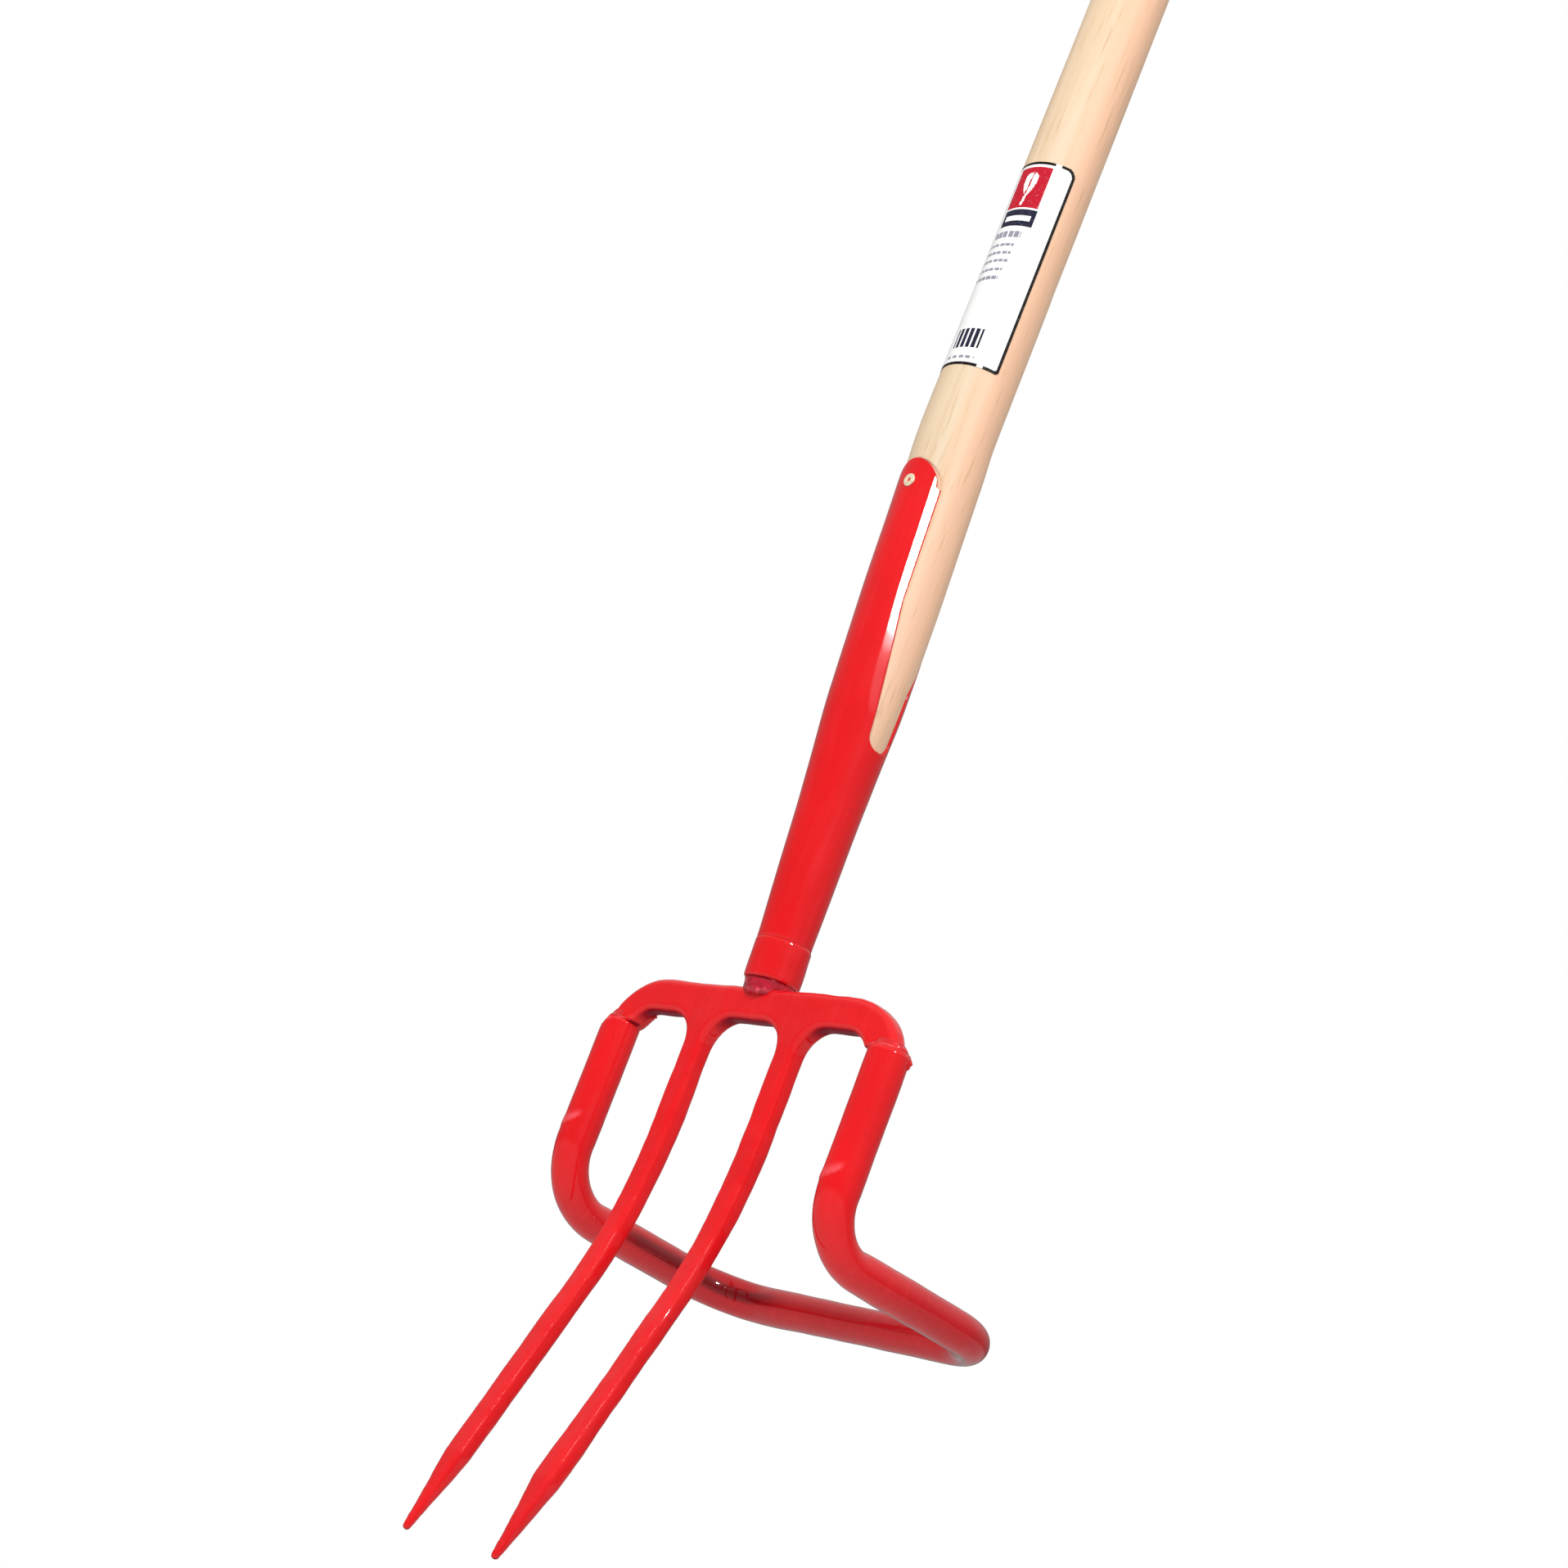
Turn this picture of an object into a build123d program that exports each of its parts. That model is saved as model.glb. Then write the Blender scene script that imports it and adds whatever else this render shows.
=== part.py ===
"""Two-tine root fork with a tubular fulcrum hoop and a straight ash shaft.

Frame: +Z up along the upper shaft, +X to the right and +Y to the back, where the hoop is.
The fork stands upright on its tine tips. The origin is the bottom centre of its box.
All sizes are in millimetres.
"""
import os
from math import cos, radians, sin, tan

from build123d import *

# --- driving dimensions: forged head ------------------------------------------------------------
HEAD_HALF_WIDTH = 103.5
HEAD_THICKNESS = 10.0
CROSSPIECE_TOP = 21.7
CROTCH_HEIGHT = 4.8
SHOULDER_RADIUS = 35.0
CROTCH_RADIUS = 16.0
FORGED_EDGE_RADIUS = 3.2
STUB_INNER = 87.0
STUB_END = -2.5

TINE_SPACING = 66.8
TINE_WIDTH = 13.0
TINE_BEND_START = -48.5
TINE_BEND_RADIUS = 300.0
TINE_BEND_ANGLE = 18.2
TINE_TIP_HEIGHT = -275.5
TINE_POINT_LENGTH = 41.0
TINE_POINT_WIDTH = 12.0
TINE_POINT_THICKNESS = 9.0
TINE_TIP_SIZE = 2.8

# --- driving dimensions: hoop -------------------------------------------------------------------
HOOP_SPACING = 194.8
HOOP_TUBE_DIAMETER = 19.4
HOOP_TUBE_WALL = 2.0
HOOP_LEG = 98.8
HOOP_DEPTH = 132.5
HOOP_REAR_DROP = 3.2
HOOP_BEND_RADIUS = 35.0
SPIGOT_LENGTH = 29.0
SPIGOT_WIDTH = 12.0
SPIGOT_THICKNESS = 9.0
BEAD_HEIGHT = 5.0
BEAD_TOP_RADIUS = 6.4
BEAD_RING_RADIUS = 8.5
BEAD_RADIUS = 1.4

# --- driving dimensions: socket, measured along its own axis from the crosspiece ----------------
SOCKET_FORWARD_TILT = 2.6
SOCKET_SETBACK = 1.9
COLLAR_START = 4.5
COLLAR_END = 24.8
COLLAR_RADIUS = 14.0
SOCKET_NECK_RADIUS = 12.6
SOCKET_WALL = 2.4
SOCKET_FLOOR = 28.0
SOCKET_TOP = 300.0
TANG_RADIUS = 7.5
SLOT_FOOT = 130.0
SLOT_FOOT_FRONT = -5.7
SLOT_FOOT_BACK = 9.8
SLOT_FOOT_RADIUS = 7.0
SLOT_FRONT = -12.4
SLOT_FRONT_STRAIGHT_FROM = 208.0
SLOT_BACK = 18.3
SLOT_BACK_WIDENS_FROM = 165.0
SLOT_BACK_STRAIGHT_FROM = 192.0
STRAP_HALF_WIDTH = 15.0
STRAP_END_CENTRE = 270.0
STRAP_FACET_DISTANCE = 19.25
STRAP_FACET_ANGLE = 61.3
NECK_WELD_RADIUS = 12.6
NECK_WELD_START = -4.0
NECK_WELD_ROUNDING = 3.5
RIVET_HEIGHT = 272.0
RIVET_HEAD_RADIUS = 3.6
RIVET_SHANK_RADIUS = 2.5
RIVET_BORE_RADIUS = 1.2
RIVET_REACH = 21.9

# --- driving dimensions: shaft and label --------------------------------------------------------
SHAFT_BACK_TILT = 0.9
BEND_HEIGHT = 304.0
BEND_RADIUS = 520.0
BEND_SHAFT_RADIUS = 20.2
GRIP_RADIUS = 19.9
GRIP_START = 220.0
SHAFT_ABOVE_BEND = 972.0
SHAFT_END_FILLET = 10.0
LABEL_START = 36.0
LABEL_LENGTH = 127.0
LABEL_HALF_ANGLE = 73.0
LABEL_THICKNESS = 0.25
LABEL_CORNER = 5.0

# --- frames -------------------------------------------------------------------------------------
# The shaft frame has its origin where the socket axis meets the upper shaft axis.
BEND_ANGLE = SOCKET_FORWARD_TILT + SHAFT_BACK_TILT
SOCKET_FRAME = Rot(X=BEND_ANGLE) * Pos(0, 0, -BEND_HEIGHT)
HEAD_FRAME = SOCKET_FRAME * Rot(X=-SOCKET_FORWARD_TILT) * Pos(0, -SOCKET_SETBACK, -CROSSPIECE_TOP)
SOCKET_IN_HEAD = Pos(0, SOCKET_SETBACK, CROSSPIECE_TOP) * Rot(X=SOCKET_FORWARD_TILT)

# Outer surface of the socket and outer surface of the shaved shaft, as (radius, height).
SOCKET_PROFILE = [(13.5, COLLAR_END), (16.4, 98), (19.6, 152), (20.8, 215), (21.1, SOCKET_TOP)]
SHAVED_PROFILE = [(12.0, SOCKET_FLOOR), (14.8, 98), (18.8, 152), (20.0, 215), (20.1, 262)]
PROFILE_BLEND = 500.0
SHAVED_TOP_BLEND = 200.0


def both_sides(shape):
    """The shape and its mirror image on the other side of the tool."""
    return shape, mirror(shape, about=Plane.YZ)


def turned(outline):
    """Solid of revolution about Z from an outline in the XZ plane."""
    return revolve(Plane.XZ * make_face(outline), Axis.Z)


# --- forged head --------------------------------------------------------------------------------
def head_outline():
    """Front outline of the crosspiece, the stubs and the straight part of the tines."""
    height = CROSSPIECE_TOP - TINE_BEND_START
    blank = Pos(0, TINE_BEND_START + height / 2) * Rectangle(2 * HEAD_HALF_WIDTH, height)
    blank = fillet(blank.vertices().group_by(Axis.Y)[-1], SHOULDER_RADIUS)

    gap_height = 2 * (CROTCH_HEIGHT - TINE_BEND_START)
    middle_width = TINE_SPACING - TINE_WIDTH
    side_inner = (TINE_SPACING + TINE_WIDTH) / 2
    side_width = STUB_INNER - side_inner
    below = CROTCH_HEIGHT - gap_height / 2
    middle_gap = Pos(0, below) * RectangleRounded(middle_width, gap_height, CROTCH_RADIUS)
    side_gap = Pos(side_inner + side_width / 2, below) * RectangleRounded(
        side_width, gap_height, CROTCH_RADIUS
    )
    stub_length = STUB_END - TINE_BEND_START
    cut_off = Pos(HEAD_HALF_WIDTH, STUB_END - stub_length / 2) * Rectangle(60, stub_length)
    for cutter in (side_gap, cut_off):
        blank -= cutter
        blank -= mirror(cutter, about=Plane.YZ)
    return blank - middle_gap


def forged_plate():
    """The flat forged part, with its front and back edges rounded."""
    half = HEAD_THICKNESS / 2
    plate = extrude(Plane.XZ * head_outline(), half, both=True)

    def is_rim(edge):
        middle = edge.center()
        on_face = abs(abs(middle.Y) - half) < 0.01
        at_end = abs(middle.Z - TINE_BEND_START) < 0.01 or abs(middle.Z - STUB_END) < 0.01
        return on_face and not at_end

    return fillet(plate.edges().filter_by(is_rim), FORGED_EDGE_RADIUS)


def tine_section(travel, drop, lean, width, thickness, corner):
    """Rounded rectangle across the tine, where it has moved forward by travel and down to drop."""
    along = Vector(0, -sin(radians(lean)), -cos(radians(lean)))
    plane = Plane(origin=(TINE_SPACING / 2, -travel, drop), x_dir=(1, 0, 0), z_dir=along)
    return plane * RectangleRounded(width, thickness, corner)


def curved_tine():
    """The right tine below the flat plate: one forward bend, then straight to its point."""
    sections = []
    bend_steps = 4
    for step in range(bend_steps + 1):
        share = step / bend_steps
        lean = TINE_BEND_ANGLE * share
        travel = TINE_BEND_RADIUS * (1 - cos(radians(lean)))
        drop = TINE_BEND_START - TINE_BEND_RADIUS * sin(radians(lean))
        width = TINE_WIDTH - (TINE_WIDTH - TINE_POINT_WIDTH) * share
        thickness = HEAD_THICKNESS - (HEAD_THICKNESS - TINE_POINT_THICKNESS) * share
        sections.append(tine_section(travel, drop, lean, width, thickness, FORGED_EDGE_RADIUS))

    slope = tan(radians(TINE_BEND_ANGLE))
    point_start = TINE_TIP_HEIGHT + TINE_POINT_LENGTH * cos(radians(TINE_BEND_ANGLE))

    def straight(height, width, thickness, corner):
        return tine_section(
            travel + slope * (drop - height), height, TINE_BEND_ANGLE, width, thickness, corner
        )

    shank_end = straight(point_start, TINE_POINT_WIDTH, TINE_POINT_THICKNESS, FORGED_EDGE_RADIUS)
    tip = straight(TINE_TIP_HEIGHT, TINE_TIP_SIZE, TINE_TIP_SIZE, 0.4 * TINE_TIP_SIZE)
    bend = loft(sections)
    shank = loft([sections[-1], shank_end])
    point = loft([shank_end, tip])
    return bend + shank + point


def spigot():
    """Square end of the right stub, which sits inside the hoop tube."""
    section = RectangleRounded(SPIGOT_WIDTH, SPIGOT_THICKNESS, 2.5)
    return Pos(HOOP_SPACING / 2, 0, STUB_END - SPIGOT_LENGTH) * extrude(section, SPIGOT_LENGTH + 2)


def fork_head():
    overlap = 3.0
    tang_length = SOCKET_FLOOR + overlap
    tang = Pos(0, 0, tang_length / 2 - overlap) * Cylinder(TANG_RADIUS, tang_length)
    head = forged_plate() + SOCKET_IN_HEAD * tang
    for piece in (*both_sides(curved_tine()), *both_sides(spigot())):
        head += piece
    return head


# --- fulcrum hoop -------------------------------------------------------------------------------
def fulcrum_hoop():
    half = HOOP_SPACING / 2
    rear = (HOOP_DEPTH, -HOOP_LEG - HOOP_REAR_DROP)
    path = FilletPolyline(
        (-half, 0, STUB_END),
        (-half, 0, -HOOP_LEG),
        (-half, *rear),
        (half, *rear),
        (half, 0, -HOOP_LEG),
        (half, 0, STUB_END),
        radius=HOOP_BEND_RADIUS,
    )
    start = Plane(origin=path @ 0, z_dir=path % 0)
    outer = sweep(start * Circle(HOOP_TUBE_DIAMETER / 2), path)
    inner = sweep(start * Circle(HOOP_TUBE_DIAMETER / 2 - HOOP_TUBE_WALL), path)
    return outer - inner


def hoop_weld(head, hoop):
    """Bead that closes the right end of the tube and slopes up to the stub."""
    slope = Pos(0, 0, BEAD_HEIGHT / 2) * Cone(BEAD_RING_RADIUS, BEAD_TOP_RADIUS, BEAD_HEIGHT)
    bead = slope + Torus(BEAD_RING_RADIUS, BEAD_RADIUS)
    return Pos(HOOP_SPACING / 2, 0, STUB_END) * bead - head - hoop


# --- socket, in the socket frame ----------------------------------------------------------------
def socket_body():
    """Solid of revolution: neck, cone and sleeve, bored for the tang and hollow for the shaft."""
    blended = FilletPolyline(*SOCKET_PROFILE, radius=PROFILE_BLEND)
    neck = Polyline(
        SOCKET_PROFILE[-1],
        (0, SOCKET_TOP),
        (0, COLLAR_START),
        (SOCKET_NECK_RADIUS, COLLAR_START),
        (SOCKET_NECK_RADIUS, COLLAR_END),
        SOCKET_PROFILE[0],
    )
    outer = turned(blended + neck)
    inner_points = [(radius - SOCKET_WALL, height) for radius, height in SOCKET_PROFILE]
    inner_points[0] = (inner_points[0][0], SOCKET_FLOOR)
    inner_line = FilletPolyline(*inner_points, radius=PROFILE_BLEND)
    inner_ends = Polyline(inner_points[-1], (0, SOCKET_TOP), (0, SOCKET_FLOOR), inner_points[0])
    bore_length = SOCKET_FLOOR - COLLAR_START
    bore = Pos(0, 0, COLLAR_START + bore_length / 2) * Cylinder(TANG_RADIUS, bore_length)
    return outer - turned(inner_line + inner_ends) - bore


def side_slot():
    """U-shaped slot on the right side, narrow at its foot and open at the top."""
    above = SOCKET_TOP + 10
    outline = FilletPolyline(
        (SLOT_FRONT, above),
        (SLOT_FRONT, SLOT_FRONT_STRAIGHT_FROM),
        (SLOT_FOOT_FRONT, SLOT_FOOT),
        (SLOT_FOOT_BACK, SLOT_FOOT),
        (SLOT_FOOT_BACK, SLOT_BACK_WIDENS_FROM),
        (SLOT_BACK, SLOT_BACK_STRAIGHT_FROM),
        (SLOT_BACK, above),
        radius=[150, SLOT_FOOT_RADIUS, SLOT_FOOT_RADIUS, 30, 30],
    )
    closing = Line((SLOT_BACK, above), (SLOT_FRONT, above))
    return extrude(Plane.YZ * make_face(outline + closing), 2 * SOCKET_PROFILE[-1][0])


def facet_cutter(angle):
    """Block whose inner face is a flat side of the front strap; angle is from the front."""
    size = 60.0
    place = Pos(0, -STRAP_FACET_DISTANCE - size / 2, SOCKET_TOP / 2)
    return Rot(Z=angle) * place * Box(size, size, SOCKET_TOP + 20)


def strap_end():
    """Everything beyond the round ends of the straps."""
    size = 2 * SOCKET_TOP - 2 * STRAP_END_CENTRE
    above = Pos(0, STRAP_END_CENTRE + size / 2) * Rectangle(4 * STRAP_HALF_WIDTH, size)
    above -= Pos(0, STRAP_END_CENTRE) * Circle(STRAP_HALF_WIDTH)
    return extrude(Plane.XZ * above, 40, both=True)


def rivet_hole():
    return Pos(0, 0, RIVET_HEIGHT) * Rot(X=90) * Cylinder(RIVET_SHANK_RADIUS, 3 * RIVET_REACH)


def plain_socket():
    """Socket with its side slots and round strap ends, before the facets and the rivet hole."""
    body = socket_body() - strap_end()
    for slot in both_sides(side_slot()):
        body -= slot
    return body


def socket(plain):
    body = plain - rivet_hole()
    for angle in (STRAP_FACET_ANGLE, -STRAP_FACET_ANGLE):
        body -= facet_cutter(angle)
    return body


def socket_collar():
    length = COLLAR_END - COLLAR_START
    ring = Cylinder(COLLAR_RADIUS, length)
    ring = fillet(ring.edges().filter_by(GeomType.CIRCLE), 0.8)
    return Pos(0, 0, COLLAR_START + length / 2) * (ring - Cylinder(SOCKET_NECK_RADIUS, length))


def neck_weld(head_in_socket):
    length = COLLAR_START - NECK_WELD_START
    bead = Cylinder(NECK_WELD_RADIUS, length)
    bead = fillet(bead.edges().group_by(Axis.Z)[0], NECK_WELD_ROUNDING)
    return Pos(0, 0, NECK_WELD_START + length / 2) * bead - head_in_socket


def strap_rivet():
    """Tubular rivet from front to back, with a rounded rim at each end."""
    head_height = 1.4
    shank = Cylinder(RIVET_SHANK_RADIUS, 2 * RIVET_REACH)
    rim = Cylinder(RIVET_HEAD_RADIUS, head_height)
    rim = fillet(rim.edges().group_by(Axis.Z)[-1], 0.7)
    rim = Pos(0, 0, RIVET_REACH - head_height / 2) * rim
    solid = shank + rim + mirror(rim, about=Plane.XY)
    solid -= Cylinder(RIVET_BORE_RADIUS, 3 * RIVET_REACH)
    return Pos(0, 0, RIVET_HEIGHT) * Rot(X=90) * solid


# --- shaft and label, in the shaft frame --------------------------------------------------------
BEND_REACH = BEND_RADIUS * tan(radians(BEND_ANGLE / 2))


def shaved_end():
    """Lower end of the shaft, in the socket frame, up to the start of the bend."""
    profile = [*SHAVED_PROFILE, (BEND_SHAFT_RADIUS, BEND_HEIGHT - BEND_REACH)]
    line = FilletPolyline(*profile, radius=[PROFILE_BLEND] * 3 + [SHAVED_TOP_BLEND])
    ends = Polyline(profile[-1], (0, profile[-1][1]), (0, SOCKET_FLOOR), profile[0])
    return turned(line + ends)


def bent_part():
    lower_end = (SOCKET_FRAME * Pos(0, 0, BEND_HEIGHT - BEND_REACH)).position
    upper_end = Vector(0, 0, BEND_REACH)
    arc = TangentArc(lower_end, upper_end, tangent=Vector(0, 0, 0) - lower_end)
    return sweep(Plane(origin=lower_end, z_dir=arc % 0) * Circle(BEND_SHAFT_RADIUS), arc)


def upper_profile(extra):
    """Half outline of the upper shaft: a slight taper, then the parallel grip."""
    return [
        (BEND_SHAFT_RADIUS + extra, BEND_REACH),
        (GRIP_RADIUS + extra, GRIP_START),
        (GRIP_RADIUS + extra, SHAFT_ABOVE_BEND),
    ]


def straight_shaft(extra=0.0):
    """The shaft above the bend, thicker all round by extra."""
    points = [(0, BEND_REACH), *upper_profile(extra), (0, SHAFT_ABOVE_BEND)]
    return turned(Polyline(*points, close=True))


def upper_shaft():
    shaft = straight_shaft()
    return fillet(shaft.edges().group_by(Axis.Z)[-1], SHAFT_END_FILLET)


def handle(plain):
    lower = SOCKET_FRAME * (shaved_end() - plain - rivet_hole())
    return lower + bent_part() + upper_shaft()


def shaft_label():
    """Thin skin wrapped round the front of the shaft."""
    reach = 2 * BEND_SHAFT_RADIUS
    skin = straight_shaft(LABEL_THICKNESS) - straight_shaft()
    half_width = BEND_SHAFT_RADIUS * sin(radians(LABEL_HALF_ANGLE))
    front = Pos(0, LABEL_START + LABEL_LENGTH / 2) * RectangleRounded(
        2 * half_width, LABEL_LENGTH, LABEL_CORNER * cos(radians(LABEL_HALF_ANGLE))
    )
    window = extrude(Plane.XZ * front, reach)
    return skin & window


# --- assembly -----------------------------------------------------------------------------------
def build():
    head = fork_head()
    hoop = fulcrum_hoop()
    weld = hoop_weld(head, hoop)
    left_weld = mirror(weld, about=Plane.YZ)
    head_in_socket = SOCKET_IN_HEAD.inverse() * head
    plain = plain_socket()
    socket_solid = socket(plain)
    rivet = strap_rivet() - socket_solid
    pieces = {
        "fork_head": HEAD_FRAME * head,
        "fulcrum_hoop": HEAD_FRAME * hoop,
        "right_hoop_weld": HEAD_FRAME * weld,
        "left_hoop_weld": HEAD_FRAME * left_weld,
        "socket": SOCKET_FRAME * socket_solid,
        "socket_collar": SOCKET_FRAME * socket_collar(),
        "neck_weld": SOCKET_FRAME * neck_weld(head_in_socket),
        "strap_rivet": SOCKET_FRAME * rivet,
        "handle": handle(plain),
        "shaft_label": shaft_label(),
    }
    box = Compound(children=[piece.solid() for piece in pieces.values()]).bounding_box()
    centre = box.center()
    stand = Pos(-centre.X, -centre.Y, -box.min.Z)
    return {name: stand * piece for name, piece in pieces.items()}


os.makedirs("parts", exist_ok=True)
for name, piece in build().items():
    export_step(piece, f"parts/{name}.step")
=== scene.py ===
"""Looks of the two-tine root fork: forged red head, tubular hoop, strapped socket and ash shaft.

Lengths in the comments and constants are millimetres unless a name says otherwise; MM turns
them into Blender's metres. The head frame, the socket frame and the shaft frame are those of
the CAD: z = 0 at the weld line of the head, at the crosspiece, and at the bend of the shaft.
"""

from math import atan2, cos, degrees, pi, radians, sin, sqrt

import bmesh
import bpy
import numpy as np
from mathutils import Matrix, Vector, noise


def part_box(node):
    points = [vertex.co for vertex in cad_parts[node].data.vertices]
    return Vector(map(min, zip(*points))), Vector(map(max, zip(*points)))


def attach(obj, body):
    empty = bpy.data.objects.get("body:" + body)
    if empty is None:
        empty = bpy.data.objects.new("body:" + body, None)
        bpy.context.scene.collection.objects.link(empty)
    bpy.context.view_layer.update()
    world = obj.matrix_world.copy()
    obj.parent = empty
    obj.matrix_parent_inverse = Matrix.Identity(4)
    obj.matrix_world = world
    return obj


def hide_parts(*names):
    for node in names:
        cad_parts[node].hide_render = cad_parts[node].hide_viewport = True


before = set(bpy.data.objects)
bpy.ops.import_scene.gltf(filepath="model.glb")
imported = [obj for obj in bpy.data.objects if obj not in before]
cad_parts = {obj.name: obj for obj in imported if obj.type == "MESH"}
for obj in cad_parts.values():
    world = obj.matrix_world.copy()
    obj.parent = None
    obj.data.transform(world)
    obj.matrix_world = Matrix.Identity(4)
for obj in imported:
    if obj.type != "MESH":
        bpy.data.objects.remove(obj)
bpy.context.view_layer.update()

MM = 0.001
SHAFT_ABOVE_BEND = 972.0
SHAFT_RADIUS = 20.2
GRIP_RADIUS = 19.9
GRIP_START = 220.0
BEND_HEIGHT = 304.0
BEND_ANGLE = radians(3.5)
HEAD_ANGLE = radians(0.9)

handle_low, handle_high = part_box("handle")
SHAFT_FRAME = Matrix.Translation(
    (0, handle_low.y + SHAFT_RADIUS * MM, handle_high.z - SHAFT_ABOVE_BEND * MM)
)
SOCKET_FRAME = (
    SHAFT_FRAME
    @ Matrix.Rotation(BEND_ANGLE, 4, "X")
    @ Matrix.Translation((0, 0, -BEND_HEIGHT * MM))
)
HEAD_FRAME = (
    SHAFT_FRAME
    @ Matrix.Translation((0, 17.0 * MM, -325.16 * MM))
    @ Matrix.Rotation(HEAD_ANGLE, 4, "X")
)


# --- mesh helpers -------------------------------------------------------------------------------
def add_mesh(name, verts, faces, replaced, place):
    """New piece from points in millimetres, placed by a frame and riding on the tool."""
    mesh = bpy.data.meshes.new(name)
    mesh.from_pydata([tuple(v) for v in np.asarray(verts) * MM], [], [tuple(f) for f in faces])
    mesh.transform(place)
    mesh.validate()
    return add_object(name, mesh, replaced)


def add_object(name, mesh, replaced):
    piece = bpy.data.objects.new(name, mesh)
    bpy.context.scene.collection.objects.link(piece)
    for polygon in mesh.polygons:
        polygon.use_smooth = True
    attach(piece, "root")
    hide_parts(*replaced)
    return piece


def grid_faces(rows, columns, closed=True):
    """Quads between successive rows of points."""
    faces = []
    last = columns if closed else columns - 1
    for i in range(rows - 1):
        for j in range(last):
            k = (j + 1) % columns
            faces.append((i * columns + j, i * columns + k, (i + 1) * columns + k, (i + 1) * columns + j))
    return faces


def cap_face(start, columns, flip):
    ring = [start + j for j in range(columns)]
    return tuple(reversed(ring)) if flip else tuple(ring)


def smoothstep(low, high, value):
    t = np.clip((np.asarray(value, float) - low) / (high - low), 0, 1)
    return t * t * (3 - 2 * t)


def eased(heights, radii):
    """Radius along a length: straight runs with soft corners."""
    even = np.arange(0.0, 700.0, 1.0)
    straight = np.pad(np.interp(even, heights, radii), 12, mode="edge")
    soft = np.convolve(straight, np.ones(13) / 13, "same")[12:-12]
    return lambda height: float(np.interp(height, even, soft))


def hammered(point, size, seed):
    """Signed noise between about -1 and 1, for a point in millimetres."""
    return noise.noise(Vector(point) / size + Vector((seed * 7.31, seed * 3.17, seed * 5.93)))


def remeshed_copy(node, name, voxel, lumps, blobs=(), smooth_rounds=2, swell=0.0):
    """Detailed copy of a CAD node: even mesh, softened edges and hand-forged unevenness.

    lumps lists (height, size, seed) of the noise along the surface normal, in millimetres.
    blobs lists (centre, radius) of balls in row millimetres that melt into the piece.
    swell moves the whole surface out, in millimetres, to make up for the softening.
    """
    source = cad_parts[node]
    mesh = source.data.copy()
    cleaner = bmesh.new()
    cleaner.from_mesh(mesh)
    bmesh.ops.remove_doubles(cleaner, verts=cleaner.verts, dist=1e-6)
    for centre, radius in blobs:
        place = Matrix.Translation(Vector(centre) * MM)
        bmesh.ops.create_icosphere(cleaner, subdivisions=3, radius=radius * MM, matrix=place)
    cleaner.to_mesh(mesh)
    cleaner.free()
    helper = bpy.data.objects.new(name + "_helper", mesh)
    bpy.context.scene.collection.objects.link(helper)
    remesh = helper.modifiers.new("even", "REMESH")
    remesh.mode = "VOXEL"
    remesh.voxel_size = voxel * MM
    soft = helper.modifiers.new("soft", "SMOOTH")
    soft.factor = 0.5
    soft.iterations = smooth_rounds
    bpy.context.view_layer.update()
    graph = bpy.context.evaluated_depsgraph_get()
    result = bpy.data.meshes.new_from_object(helper.evaluated_get(graph))
    bpy.data.objects.remove(helper)
    result.materials.clear()
    count = len(result.vertices)
    points = np.zeros(count * 3)
    result.vertices.foreach_get("co", points)
    points = points.reshape(-1, 3) / MM
    normals = np.array([v.normal[:] for v in result.vertices])
    for i in range(count):
        shift = sum(height * hammered(points[i], size, seed) for height, size, seed in lumps)
        points[i] += normals[i] * (shift + swell)
    result.vertices.foreach_set("co", (points * MM).ravel())
    result.update()
    return add_object(name, result, [node])


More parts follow.
